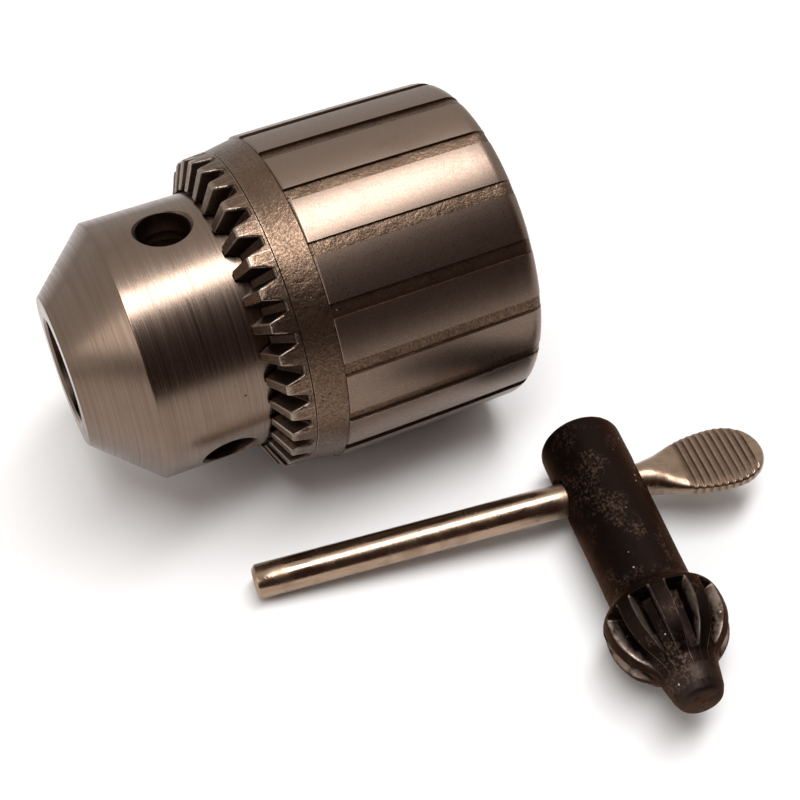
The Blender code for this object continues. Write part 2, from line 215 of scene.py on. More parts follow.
def turned_steel(name, color, dark, rough, line=0.10, blotch=0.25, anisotropic=0.55):
    """Steel with fine lines left by the lathe, running round the x axis."""
    s = Shader(name, color, 1.0, rough, Anisotropic=anisotropic)
    s.tangent_about_x()
    p = s.place()
    fine = s.noise(s.scaled(p, (1000.0 / line, 45.0, 45.0)), 1.0, 3.0, 0.6)
    broad = s.noise(s.scaled(p, (1000.0 / (line * 7.0), 22.0, 22.0)), 1.0, 2.0, 0.5)
    cloud = s.noise(p, 160.0, 3.0, 0.6, 0.4)
    shade = s.math("ADD", s.math("MULTIPLY", fine, 0.7), s.math("MULTIPLY", broad, 0.3))
    shade = s.ramp(shade, 0.32, 0.68)
    toned = s.mix(s.math("MULTIPLY", shade, 0.55), color, dark)
    stain = s.ramp(cloud, 0.52, 0.78, 0.0, blotch)
    toned = s.mix(stain, toned, dark)
    speck = s.ramp(s.cells(p, 420.0), 0.045, 0.09, 1.0, 0.0)
    speck = s.math("MULTIPLY", speck, s.ramp(s.noise(p, 260.0, 1.0), 0.60, 0.66))
    toned = s.mix(speck, toned, (0.03, 0.018, 0.012))
    s.link(toned, "Base Color")
    s.link(s.ramp(fine, 0.3, 0.7, rough - 0.06, rough + 0.10, False), "Roughness")
    height = s.math("ADD", s.math("MULTIPLY", fine, 0.6), s.math("MULTIPLY", broad, 0.35))
    s.link(s.bump(height, 0.000003), "Normal")
    return s.mat


def ground_steel(name, color, dark, rough):
    """Ground lands: short scratches across the axis over a speckled satin."""
    s = Shader(name, color, 1.0, rough, Anisotropic=0.35)
    s.tangent_about_x()
    p = s.place()
    scratch = s.noise(s.scaled(p, (14000.0, 3200.0, 3200.0)), 1.0, 2.0, 0.6)
    grain = s.noise(p, 7000.0, 2.0, 0.6)
    cloud = s.noise(p, 190.0, 3.0, 0.6, 0.5)
    shade = s.math("ADD", s.math("MULTIPLY", scratch, 0.6), s.math("MULTIPLY", grain, 0.4))
    toned = s.mix(s.ramp(shade, 0.42, 0.60, 0.0, 0.38), color, dark)
    toned = s.mix(s.ramp(cloud, 0.50, 0.8, 0.0, 0.35), toned, dark)
    s.link(toned, "Base Color")
    s.link(s.ramp(shade, 0.35, 0.65, rough - 0.04, rough + 0.06, False), "Roughness")
    s.link(s.bump(shade, 0.0000012), "Normal")
    return s.mat


def cast_steel(name, color, dark, rough, depth=0.00006, dirt=0.6):
    """Sandy as-cast skin with bright grains and small dark pits."""
    s = Shader(name, color, 1.0, rough)
    p = s.place()
    sand = s.noise(p, 3600.0, 3.0, 0.6)
    lump = s.noise(p, 1300.0, 2.0, 0.5)
    cloud = s.noise(p, 260.0, 3.0, 0.6, 0.3)
    pit = s.ramp(s.cells(p, 900.0), 0.06, 0.16, 1.0, 0.0)
    pit = s.math("MULTIPLY", pit, s.ramp(s.noise(p, 420.0, 1.0), 0.55, 0.62))
    wear = s.attribute("wear")
    toned = s.mix(s.ramp(sand, 0.42, 0.62, 0.0, dirt), color, dark)
    toned = s.mix(s.ramp(cloud, 0.45, 0.75, 0.0, 0.5), toned, dark)
    toned = s.mix(pit, toned, (0.02, 0.013, 0.01))
    toned = s.mix(s.math("MULTIPLY", wear, 0.75), toned, (0.60, 0.50, 0.42))
    s.link(toned, "Base Color")
    worn_rough = s.math("MULTIPLY", wear, -0.16)
    sand_rough = s.ramp(sand, 0.3, 0.7, rough - 0.08, rough + 0.12, False)
    s.link(s.math("ADD", sand_rough, worn_rough), "Roughness")
    height = s.math("ADD", s.math("MULTIPLY", sand, 0.6), s.math("MULTIPLY", lump, 0.9))
    height = s.math("ADD", height, s.math("MULTIPLY", pit, -0.8))
    s.link(s.bump(height, depth), "Normal")
    return s.mat


def black_oxide(name):
    """Dark oxide over forged steel, rubbed brown on the body and bright on the worked flanks."""
    base = (0.0095, 0.0055, 0.0042)
    s = Shader(name, base, 0.9, 0.46, Specular_Tint=(0.68, 0.52, 0.45, 1.0))
    p = s.place()
    grain = s.noise(p, 2600.0, 3.0, 0.6)
    lump = s.noise(p, 700.0, 3.0, 0.55, 0.3)
    cloud = s.noise(p, 210.0, 4.0, 0.6, 0.4)
    wear = s.attribute("wear")
    rub = s.math("MULTIPLY", s.ramp(cloud, 0.47, 0.62), s.ramp(grain, 0.46, 0.62))
    toned = s.mix(s.math("MULTIPLY", rub, 0.5), base, (0.11, 0.066, 0.046))
    streak = s.noise(s.scaled(p, (500.0, 2400.0, 2400.0)), 1.0, 3.0, 0.6)
    patch = s.ramp(s.math("ADD", lump, s.math("MULTIPLY", streak, 0.3)), 0.42, 0.66, 0.12, 1.0)
    bare = s.math("MULTIPLY", wear, patch)
    toned = s.mix(bare, toned, (0.27, 0.205, 0.17))
    chip = s.ramp(s.cells(p, 900.0), 0.06, 0.13, 1.0, 0.0)
    chip = s.math("MULTIPLY", chip, s.ramp(s.noise(p, 420.0, 1.0), 0.58, 0.63))
    toned = s.mix(chip, toned, (0.55, 0.46, 0.38))
    s.link(toned, "Base Color")
    rough = s.ramp(grain, 0.3, 0.7, 0.40, 0.58, False)
    s.link(s.math("ADD", rough, s.math("MULTIPLY", bare, -0.14)), "Roughness")
    height = s.math("ADD", s.math("MULTIPLY", grain, 0.35), s.math("MULTIPLY", lump, 0.9))
    s.link(s.bump(height, 0.00004), "Normal")
    return s.mat


def nickel_plate(name, color, dark, rough):
    """Bright plating with drawn lines along the bar, small pits and dull clouds."""
    s = Shader(name, color, 1.0, rough)
    p = s.place()
    drawn = s.noise(s.scaled(p, (2600.0, 120.0, 2600.0)), 1.0, 3.0, 0.6)
    cloud = s.noise(p, 240.0, 4.0, 0.6, 0.5)
    grain = s.noise(p, 3000.0, 2.0, 0.6)
    pit = s.ramp(s.cells(p, 780.0), 0.05, 0.12, 1.0, 0.0)
    pit = s.math("MULTIPLY", pit, s.ramp(s.noise(p, 350.0, 1.0), 0.57, 0.63))
    grime_and_painted_shade = s.attribute("grime_and_painted_shade")
    toned = s.mix(s.ramp(cloud, 0.45, 0.72, 0.0, 0.6), color, dark)
    toned = s.mix(s.ramp(drawn, 0.45, 0.65, 0.0, 0.3), toned, dark)
    toned = s.mix(pit, toned, (0.05, 0.03, 0.02))
    # This attribute darkens the plating: painted shade in the rib notches and where the bar meets the
    # shank, over a slight even darkening of the grip and of the bar's end.
    toned = s.mix(s.math("MULTIPLY", grime_and_painted_shade, 0.8), toned, (0.06, 0.035, 0.025))
    s.link(toned, "Base Color")
    rough_out = s.ramp(cloud, 0.35, 0.7, rough - 0.05, rough + 0.14, False)
    s.link(s.math("ADD", rough_out, s.math("MULTIPLY", grime_and_painted_shade, 0.2)), "Roughness")
    height = s.math("ADD", s.math("MULTIPLY", grain, 0.3), s.math("MULTIPLY", cloud, 1.2))
    height = s.math("ADD", height, s.math("MULTIPLY", pit, -0.6))
    s.link(s.bump(height, 0.00002), "Normal")
    return s.mat


STEEL = (0.205, 0.150, 0.116)
STEEL_DARK = (0.110, 0.074, 0.054)
MATS = {
    "turned": turned_steel("turned_steel", STEEL, STEEL_DARK, 0.20, 0.06, 0.25),
    # Bores and holes: rougher, with coarser lines from boring, and a darker colour that is painted shade.
    "bore": turned_steel("bored_and_painted_shade_steel", (0.12, 0.08, 0.06), (0.05, 0.033, 0.025), 0.36, 0.22, 0.5, 0.3),
    "ground": ground_steel("ground_steel", (0.205, 0.148, 0.114), (0.112, 0.076, 0.056), 0.29),
    "cast": cast_steel("cast_steel", (0.150, 0.098, 0.066), (0.058, 0.035, 0.024), 0.33),
    # Faces inside the tooth gaps: a much darker copy of the cast steel, painted shade.
    "flank": cast_steel("tooth_gap_painted_shade", (0.046, 0.028, 0.020), (0.016, 0.010, 0.007), 0.38, 0.00002),
    "jaw": ground_steel("jaw_steel", (0.24, 0.18, 0.14), (0.10, 0.07, 0.05), 0.30),
    "nut": turned_steel("nut_steel", (0.16, 0.12, 0.09), (0.07, 0.05, 0.04), 0.36, 0.2),
    "oxide": black_oxide("black_oxide_steel"),
    "plate": nickel_plate("nickel_plate", (0.36, 0.255, 0.18), (0.17, 0.105, 0.07), 0.20),
}


# ---- mesh helpers -------------------------------------------------------------------------------
def mesh_of(name, geometry, materials):
    """A mesh from points in millimetres."""
    mesh = bpy.data.meshes.new(name)
    mesh.from_pydata((np.array(geometry[0], float) * MM).tolist(), [], geometry[1])
    for material in materials:
        mesh.materials.append(MATS[material])
    return mesh


def face_outward(mesh):
    bm = bmesh.new()
    bm.from_mesh(mesh)
    bmesh.ops.recalc_face_normals(bm, faces=bm.faces)
    bm.to_mesh(mesh)
    bm.free()


def linked(name, data):
    obj = bpy.data.objects.new(name, data)
    bpy.context.scene.collection.objects.link(obj)
    return obj


def piece(name, geometry, materials, body, matrix, cad, slots=None, attributes=None):
    """A piece in its own frame that rides on a CAD body and takes the place of a CAD node."""
    mesh = mesh_of(name, geometry, materials)
    if slots is not None:
        mesh.polygons.foreach_set("material_index", np.array(slots, np.int32))
    for key, values in (attributes or {}).items():
        layer = mesh.attributes.new(key, "FLOAT", "POINT")
        layer.data.foreach_set("value", np.array(values, np.float32))
    face_outward(mesh)
    obj = linked(name, mesh)
    obj.matrix_world = matrix
    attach(obj, body)
    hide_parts(cad)
    return obj


def smooth(obj, degrees=30.0):
    mesh = obj.data
    mesh.polygons.foreach_set("use_smooth", np.ones(len(mesh.polygons), bool))
    mesh.set_sharp_from_angle(angle=math.radians(degrees))


def fillet(points, radii, steps=4):
    """A polyline with its corners rounded. A radius of 0 keeps a corner sharp."""
    out = []
    count = len(points)
    for i in range(count):
        p = Vector(points[i])
        r = radii[i]
        if r <= 0.0 or i == 0 or i == count - 1:
            out.append(tuple(p))
            continue
        a = (Vector(points[i - 1]) - p)
        b = (Vector(points[i + 1]) - p)
        turn = math.pi - a.angle(b)
        cut = min(r * math.tan(turn / 2.0), a.length * 0.45, b.length * 0.45)
        start = p + a.normalized() * cut
        end = p + b.normalized() * cut
        for k in range(steps + 1):
            t = k / steps
            out.append(tuple(start * (1 - t) ** 2 + p * 2 * t * (1 - t) + end * t ** 2))
    return out


def ring_point(x, r, angle):
    """The angle is in radians."""
    return (x, r * math.cos(angle), r * math.sin(angle))


def revolved(profile, segments):
    """An (x, r) profile turned round the x axis, with the profile row of each face."""
    verts = []
    rings = []
    for x, r in profile:
        if r < 1e-6:
            rings.append([len(verts)])
            verts.append((x, 0.0, 0.0))
        else:
            start = len(verts)
            rings.append(list(range(start, start + segments)))
            verts.extend(ring_point(x, r, TAU * i / segments) for i in range(segments))
    faces = []
    rows = []
    for k in range(len(profile) - 1):
        a = rings[k]
        b = rings[k + 1]
        for i in range(segments):
            j = (i + 1) % segments
            if len(a) == 1:
                faces.append((a[0], b[j], b[i]))
            elif len(b) == 1:
                faces.append((a[i], a[j], b[0]))
            else:
                faces.append((a[i], a[j], b[j], b[i]))
            rows.append(k)
    return verts, faces, rows


def grid_ring(columns, closed):
    """Faces of equal-length columns laid side by side round a ring. Each column may close on itself."""
    n = len(columns[0])
    count = len(columns)
    verts = [p for column in columns for p in column]
    faces = []
    where = []
    for c in range(count):
        d = (c + 1) % count
        for k in range(n if closed else n - 1):
            m = (k + 1) % n
            faces.append((c * n + k, c * n + m, d * n + m, d * n + k))
            where.append((c, k))
    return verts, faces, where


def lofted(sections):
    """Equal-length loops joined in order, with a flat face at each end."""
    verts = [p for loop in sections for p in loop]
    n = len(sections[0])
    faces = []
    for k in range(len(sections) - 1):
        for i in range(n):
            j = (i + 1) % n
            faces.append((k * n + i, k * n + j, (k + 1) * n + j, (k + 1) * n + i))
    faces.append(tuple(range(n - 1, -1, -1)))
    last = (len(sections) - 1) * n
    faces.append(tuple(range(last, last + n)))
    return verts, faces


def joined(parts):
    """Separate solids as one geometry."""
    verts = []
    faces = []
    for v, f in parts:
        start = len(verts)
        verts.extend(v)
        faces.extend(tuple(i + start for i in face) for face in f)
    return verts, faces


def placed(geometry, matrix):
    return [tuple(matrix @ Vector(v)) for v in geometry[0]], geometry[1]


def cut(obj, geometry, material):
    """Cuts the geometry out of the piece. The cut faces take the material."""
    mesh = mesh_of("cutter", geometry, [material])
    face_outward(mesh)
    cutter = linked("cutter", mesh)
    cutter.matrix_world = obj.matrix_world
    mod = obj.modifiers.new("cut", "BOOLEAN")
    mod.operation = "DIFFERENCE"
    mod.solver = "EXACT"
    mod.material_mode = "TRANSFER"
    mod.object = cutter
    bpy.context.view_layer.update()
    result = bpy.data.meshes.new_from_object(obj.evaluated_get(bpy.context.evaluated_depsgraph_get()))
    obj.modifiers.clear()
    old = obj.data
    obj.data = result
    result.name = obj.name
    bpy.data.meshes.remove(old)
    bpy.data.objects.remove(cutter, do_unlink=True)


def own_normals(obj, rule):
    """Custom corner normals: rule(point in mm, face normal) gives one, or None to keep the mesh's own."""
    mesh = obj.data
    kept = [tuple(n.vector) for n in mesh.corner_normals]
    for poly in mesh.polygons:
        for li in poly.loop_indices:
            found = rule(mesh.vertices[mesh.loops[li].vertex_index].co / MM, poly.normal)
            if found is not None:
                kept[li] = tuple(found)
    mesh.normals_split_custom_set(kept)


def framed(x_axis, y_axis, z_axis, origin):
    rows = [(x_axis[i], y_axis[i], z_axis[i], origin[i]) for i in range(3)]
    return Matrix(rows + [(0.0, 0.0, 0.0, 1.0)])


def radial_at(degrees):
    angle = math.radians(degrees)
    return Vector((0.0, math.cos(angle), math.sin(angle)))


def spoke(x, degrees):
    """Local x radial outward, local z along the axis."""
    radial = radial_at(degrees)
    return framed(radial, AXIAL.cross(radial), AXIAL, (x, 0.0, 0.0))


def jaw_frame(degrees):
    """Local x along the jaw toward the rear, local y away from the chuck's axis."""
    radial = radial_at(degrees)
    along = AXIAL * math.cos(JAW_SLOPE) + radial * math.sin(JAW_SLOPE)
    outward = radial * math.cos(JAW_SLOPE) - AXIAL * math.sin(JAW_SLOPE)
    return framed(along, outward, along.cross(outward), (JAW_APEX, 0.0, 0.0))


def jaw_line_r(x):
    """Radius of a jaw's centre line at x."""
    return (x - JAW_APEX) * math.tan(JAW_SLOPE)


def clamped(value):
    return min(1.0, max(0.0, value))


def off_middle(degrees, phase, count):
    """Angle to the middle of the nearest of equal features round a ring."""
    pitch = 360.0 / count
    return abs((degrees - phase + pitch / 2.0) % pitch - pitch / 2.0)


def soft_gap(off, root_half, mouth_half, step, reach):
    """1 in the root of a gap and 0 outside its mouth, with the corners averaged over a few steps."""
    total = 0.0
    for k in range(-reach, reach + 1):
        total += clamped((mouth_half - abs(off + step * k)) / (mouth_half - root_half))
    return total / (2 * reach + 1.0)


def angles_about(phase, count, offsets):
    """Angles at the offsets on both sides of each feature's middle."""
    found = set()
    for i in range(count):
        middle = phase + 360.0 / count * i
        for d in offsets:
            found.add(round((middle + d) % 360.0, 3))
            found.add(round((middle - d) % 360.0, 3))
    return found


def interpolated(x, table):
    xs = [p[0] for p in table]
    ys = [p[1] for p in table]
    return float(np.interp(x, xs, ys))


# ---- chuck body ---------------------------------------------------------------------------------
def make_body():
    """A turned profile, from the tool bore round the outside to the spindle socket, with drilled holes."""
    slot_floor = 2.6
    front = [
        (TOOL_BORE_DEPTH, 0.0),
        (TOOL_BORE_DEPTH, TOOL_BORE_R),
        (20.0, TOOL_BORE_R),
        (8.0, TOOL_BORE_R),
    ]
    outer = [
        (0.35, TOOL_BORE_R),
        (0.0, TOOL_BORE_R + 0.35),
        (0.0, NOSE_R),
        (CONE_END, FRONT_R),
        (NUT_SLOT[0], FRONT_R),
    ]
    outer = fillet(outer, (0.0, 0.12, 0.22, 0.35, 0.0), 4)
    rear = [
        (NUT_SLOT[0], jaw_line_r(NUT_SLOT[0]) + slot_floor),
        (NUT_SLOT[1], jaw_line_r(NUT_SLOT[1]) + slot_floor),
        (NUT_SLOT[1], REAR_R),
        (BODY_LENGTH - 0.8, REAR_R),
        (BODY_LENGTH, REAR_R - 0.8),
        (BODY_LENGTH, 13.2),
        (BODY_LENGTH - 0.12, 13.0),
        (BODY_LENGTH - 0.12, 12.8),
        (BODY_LENGTH, 12.6),
        (BODY_LENGTH, SOCKET_R + 0.8),
        (BODY_LENGTH - 0.8, SOCKET_R),
    ]
    rear = fillet(rear, (0, 0, 0, 0.2, 0.2, 0, 0, 0, 0, 0.15, 0.1), 3)
    thread = []
    thread_r = SOCKET_R + 0.42
    x = BODY_LENGTH - 1.3
    while x > BODY_LENGTH - SOCKET_DEPTH + 1.4:
        thread += [(x, SOCKET_R), (x - 0.27, thread_r), (x - 0.42, thread_r), (x - 0.70, SOCKET_R)]
        x -= 1.27
    tail = [
        (BODY_LENGTH - SOCKET_DEPTH, SOCKET_R),
        (BODY_LENGTH - SOCKET_DEPTH - 1.0, 0.0),
    ]
    profile = front + outer + rear + thread + tail
    verts, faces, rows = revolved(profile, 240)
    # Rows in the bores take the bore material, darker as painted shade.
    bored = set(range(len(front)))
    bored |= set(range(len(front) + len(outer) + len(rear) - 2, len(profile)))
    slots = [1 if k in bored else 0 for k in rows]
    obj = piece("body_turned", (verts, faces), ["turned", "bore"], "body", CHUCK,
                "chuck_body", slots)
    start = (0.9 - JAW_APEX) / math.cos(JAW_SLOPE)
    end = (JAW_REAR_X + 1.2 - JAW_APEX) / math.cos(JAW_SLOPE)
    for angle in JAW_ANGLES:
        rod = revolved([(start, 0.0), (start, JAW_BORE_R), (end, JAW_BORE_R), (end, 0.0)], 72)
        cut(obj, placed(rod[:2], jaw_frame(angle)), "bore")
    drilled = [(PILOT_HOLE_FLOOR_R - 1.2, 0.0), (PILOT_HOLE_FLOOR_R, PILOT_HOLE_R)]
    for i in range(3):
        r = PILOT_HOLE_FLOOR_R + 1.6 + 1.3 * i
        drilled += [(r, PILOT_HOLE_R), (r + 0.1, PILOT_HOLE_R + 0.04), (r + 0.2, PILOT_HOLE_R)]
    drilled += [
        (FRONT_R - 0.62, PILOT_HOLE_R),
        (FRONT_R - 0.40, PILOT_HOLE_R + 0.05),
        (FRONT_R + 0.9, PILOT_HOLE_R + 1.25),
        (FRONT_R + 2.0, PILOT_HOLE_R + 1.25),
        (FRONT_R + 2.0, 0.0),
    ]
    hole = revolved(drilled, 72)[:2]
    cut(obj, joined(placed(hole, spoke(PILOT_HOLE_X, angle)) for angle in PILOT_HOLE_ANGLES), "bore")
    smooth(obj, 28.0)
    own_normals(obj, turned_normal)


def turned_normal(co, normal):
    """The true normal of the body's cylinders and cone, which the holes cut into."""
    r = math.hypot(co.y, co.z)
    if r < TOOL_BORE_R - 0.7:
        return None
    radial = Vector((0.0, co.y / r, co.z / r))
    on_front = abs(r - FRONT_R) < 0.02 and CONE_END + 0.3 < co.x < NUT_SLOT[0] + 0.01
    on_rear = abs(r - REAR_R) < 0.02 and co.x > NUT_SLOT[1]
    if on_front or on_rear:
        found = radial
    elif 0.3 < co.x < CONE_END - 0.2 and r > NOSE_R:
        slope = math.atan2(FRONT_R - NOSE_R, CONE_END)
        found = radial * math.cos(slope) - AXIAL * math.sin(slope)
    else:
        return None
    return found if found.dot(normal) > SAME_SIDE else None


# ---- sleeve -------------------------------------------------------------------------------------
def tooth_gap(degrees):
    """1 in the root of a tooth gap, 0 on a tooth, at an angle about the axis."""
    off = off_middle(degrees, TOOTH_PHASE, TEETH)
    return soft_gap(off, TOOTH_ROOT_HALF, TOOTH_MOUTH_HALF, 0.07, 4)


def grip_groove(degrees):
    """1 on the floor of a grip groove, 0 on a land."""
    t = clamped((GROOVE_HALF - off_middle(degrees, GRIP_PHASE, GRIP_GROOVES)) / GROOVE_WALL)
    return t * t * (3.0 - 2.0 * t)


def sleeve_angles():
    """Angles of the columns, close together where a tooth or a groove wall needs them."""
    by_tooth = (0.0, 0.8, 1.3, 1.45, 1.6, 1.75, 1.95, 2.7, 3.3, 3.5, 3.65, 3.8, 3.95, 4.1, 4.5, 5.625)
    by_groove = (0.0, 1.1, 2.1, 2.30, 2.34, 2.38, 2.42, 2.46, 2.56, 3.6, 5.0, 6.6, 8.2, 9.99)
    found = angles_about(TOOTH_PHASE, TEETH, by_tooth)
    found |= angles_about(GRIP_PHASE, GRIP_GROOVES, by_groove)
    angles = []
    for angle in sorted(found):
        if not angles or angle - angles[-1] > 0.035:
            angles.append(angle)
    return angles


def land_r(x):
    """Radius of the ground lands, slightly crowned, rolling over at the rear."""
    crown = 0.08
    if x < REAR_ROLL_X:
        t = (x - LAND_MIDDLE) / (REAR_ROLL_X - LAND_MIDDLE)
        return LAND_R - crown * t * t
    t = min(1.0, (x - REAR_ROLL_X) / (SLEEVE_END - REAR_ROLL_X))
    return LAND_R - crown - 1.42 * (1.0 - math.sqrt(max(0.0, 1.0 - t * t * 0.985)))


def land_rows():
    """x of the rows behind the band, close together at the step and at the rear edge."""
    rows = [STEP_X + d for d in (0.0, 0.03, 0.07, 0.12, 0.2, 0.32)]
    rows += [rows[-1] + (REAR_ROLL_X - rows[-1]) * k / 12.0 for k in range(1, 13)]
    rows += [SLEEVE_END - d for d in (1.65, 1.3, 1.0, 0.75, 0.55, 0.38, 0.24, 0.13, 0.05, 0.0)]
    return rows


def tooth_points(gap):
    """(x, r, tag, wear) over the toothed front face, its corner and the collar up to the turned line."""
    edge = math.exp(-((gap - 0.02) / 0.04) ** 2) if gap > 0.0005 else 0.0
    points = []
    front_x = 0.0
    for r in (SLEEVE_BORE_R + 0.03, 17.0, 17.5, 18.1, 18.7, 19.3, 19.8, TOOTH_TOP_R):
        tip_x = TOOTH_TIP_X + (r - SLEEVE_BORE_R) * TOOTH_TIP_SLOPE
        root_x = TOOTH_ROOT_X + (r - SLEEVE_BORE_R) * TOOTH_ROOT_SLOPE
        if r < SLEEVE_BORE_R + 0.1:
            tip_x += 0.12
        front_x = tip_x + (root_x - tip_x) * gap
        points.append((front_x, r, "face", edge * 0.5))
    room = min(1.0, (LINE_X - 0.14 - front_x) / 0.62)
    for dx, dr in ((0.04, 0.10), (0.10, 0.18), (0.19, 0.24), (0.32, 0.28)):
        tag = "face" if dr < 0.2 else "outer"
        points.append((front_x + dx * room, TOOTH_TOP_R + dr, tag, 0.35 if gap < 0.5 else 0.1))
    first = points[-1][0]
    for t in (0.2, 0.45, 0.72, 0.96):
        x = first + (LINE_X - 0.11 - first) * t
        points.append((x, 20.30 + 0.20 * (x - 22.1) / 2.7, "outer", edge * 0.25))
    return points


def land_points(groove):
    """(x, r, tag, wear) over the lands and grooves, from the step behind the band to the rear edge."""
    points = []
    base = BAND_R + BAND_RISE - 0.06
    for x in land_rows():
        lift = clamped((x - STEP_X) / 0.2)
        lift = math.sqrt(lift * (2.0 - lift))
        top = base + (land_r(x) - base) * lift
        fade = clamped((SLEEVE_END - x) / 2.4)
        groove_floor = min(base + (GROOVE_R - base) * lift, top - (0.10 + 0.28 * fade) * lift)
        points.append((x, top + (groove_floor - top) * groove, "land", 0.0))
    return points


def sleeve_column(angle):
    """The sleeve's closed section at one angle, from the nut seat over the outside to the rear bore."""
    points = [
        (NUT_SEAT_X[0], NUT_SEAT_R, "bore", 0.0),
        (NUT_SEAT_X[0], SLEEVE_BORE_R, "bore", 0.0),
        (SLEEVE_THROAT_X, SLEEVE_BORE_R, "bore", 0.0),
    ]
    points += tooth_points(tooth_gap(angle))
    for dx, dr in ((-0.09, 0.0), (-0.05, -0.09), (0.0, -0.13), (0.05, -0.09), (0.09, 0.0)):
        points.append((LINE_X + dx, BAND_R + dr, "line", 0.0 if dr < 0 else 0.3))
    for x in (BAND_X, 25.5, 26.0, 26.5, 27.0, 27.6, 28.2, 28.7, 28.86):
        points.append((x, BAND_R + BAND_RISE * (x - BAND_X) / (STEP_X - BAND_X), "band", 0.0))
    points += land_points(grip_groove(angle))
    rear = (
        (SLEEVE_END, SLEEVE_REAR_BORE_R + 0.22),
        (SLEEVE_END - 0.12, SLEEVE_REAR_BORE_R + 0.05),
        (SLEEVE_END - 0.3, SLEEVE_REAR_BORE_R),
        (45.0, SLEEVE_REAR_BORE_R),
        (NUT_SEAT_X[1], SLEEVE_REAR_BORE_R),
        (NUT_SEAT_X[1], NUT_SEAT_R),
    )
    return points + [(x, r, "bore", 0.0) for x, r in rear]


def make_sleeve():
    angles = sleeve_angles()
    sections = [sleeve_column(angle) for angle in angles]
    columns = []
    for angle, section in zip(angles, sections):
        columns.append([ring_point(x, r, math.radians(angle)) for x, r, _, _ in section])
    wear = [worn for section in sections for _, _, _, worn in section]
    gaps = [tooth_gap(angle) for angle in angles]
    grooves = [grip_groove(angle) for angle in angles]
    verts, faces, where = grid_ring(columns, True)
    order = ["cast", "ground", "flank", "bore"]
    slots = []
    for c, k in where:
        d = (c + 1) % len(columns)
        tag = sections[0][k][2]
        # Bore faces take the bore material, darker as painted shade.
        if tag == "bore":
            kind = "bore"
        elif tag == "land" and 0.5 * (grooves[c] + grooves[d]) <= 0.3:
            kind = "ground"
        # Faces inside a tooth gap take the much darker gap material, painted shade.
        elif tag == "face" and (0.5 * (gaps[c] + gaps[d]) > 0.06 or abs(gaps[c] - gaps[d]) > 0.02):
            kind = "flank"
        else:
            kind = "cast"
        slots.append(order.index(kind))
    obj = piece("sleeve_geared", (verts, faces), order, "sleeve", CHUCK,
                "gear_sleeve", slots, {"wear": wear})
    smooth(obj, 38.0)


# ---- jaws ---------------------------------------------------------------------------------------
def jaw_planes(degrees):
    """Planes that trim a jaw's rod: tip, outer limit, grip face, tip chamfer and the two faces that
    meet the other jaws when closed.
    """
    radial = radial_at(degrees)
    slope_cos = math.cos(JAW_SLOPE)
    closing = -(AXIAL * slope_cos + radial * math.sin(JAW_SLOPE)) * JAW_TRAVEL
    rim = radial * (jaw_line_r(JAW_TIP_X) + JAW_R / slope_cos - 0.5) + AXIAL * JAW_TIP_X
    planes = [
        (AXIAL * JAW_TIP_X, -AXIAL),
        (radial * JAW_REAR_LIMIT_R, radial),
        (radial * GRIP_R_OPEN, -radial),
        (rim, (radial - AXIAL).normalized()),
    ]
    for sign in (-1.0, 1.0):
        normal = AXIAL.cross(radial) * (sign * 0.5) - radial * math.sin(math.radians(60.0))
        planes.append((-closing - normal * 0.15, normal))
    return planes


def trim(obj, planes):
    bm = bmesh.new()
    bm.from_mesh(obj.data)
    for point, normal in planes:
        geom = list(bm.verts) + list(bm.edges) + list(bm.faces)
        found = bmesh.ops.bisect_plane(
            bm, geom=geom, plane_co=point * MM, plane_no=normal, clear_outer=True, dist=1e-7)
        edges = [e for e in found["geom_cut"] if isinstance(e, bmesh.types.BMEdge)]
        bmesh.ops.edgeloop_fill(bm, edges=edges)
    bmesh.ops.recalc_face_normals(bm, faces=bm.faces)
    bm.to_mesh(obj.data)
    bm.free()


def jaw_tooth_gap(x, degrees):
    """A cutter for one gap between thread teeth, across the outer side of the jaw."""
    outer = jaw_line_r(x) + JAW_R / math.cos(JAW_SLOPE)
    outline = (
        (-0.9, -0.36), (-0.82, -0.46), (1.1, -0.93),
        (1.1, 0.93), (-0.82, 0.46), (-0.9, 0.36),
    )
    loops = [[(outer + rise, y, x + along) for rise, along in outline] for y in (-4.0, 4.0)]
    return placed(lofted(loops), spoke(0.0, degrees))


def make_jaw(number, degrees):
    """A round rod on the slanted line, trimmed by planes, with thread teeth on the outer side."""
    slope_cos = math.cos(JAW_SLOPE)
    tip = (JAW_TIP_X - 2.0 - JAW_APEX) / slope_cos
    rear = (JAW_REAR_X - JAW_APEX) / slope_cos - 1.0
    rod = revolved([
        (tip, 0.0), (tip, JAW_R), (rear - 0.5, JAW_R), (rear - 0.2, JAW_R - 0.12),
        (rear, JAW_R - 0.5), (rear, 0.0),
    ], 88)
    obj = piece("jaw_ground_%d" % number, placed(rod[:2], jaw_frame(degrees)), ["jaw"],
                "jaw_%d" % number, CHUCK, "jaw_%d" % number)
    trim(obj, jaw_planes(degrees))
    crest = (degrees / 360.0 + 0.5) % 1.0
    k = math.ceil(25.5 / AXIAL_PITCH - crest)
    gaps = []
    while (k + crest) * AXIAL_PITCH < JAW_REAR_X - 0.4:
        gaps.append(jaw_tooth_gap((k + crest) * AXIAL_PITCH, degrees))
        k += 1
    cut(obj, joined(gaps), "jaw")
    smooth(obj, 30.0)


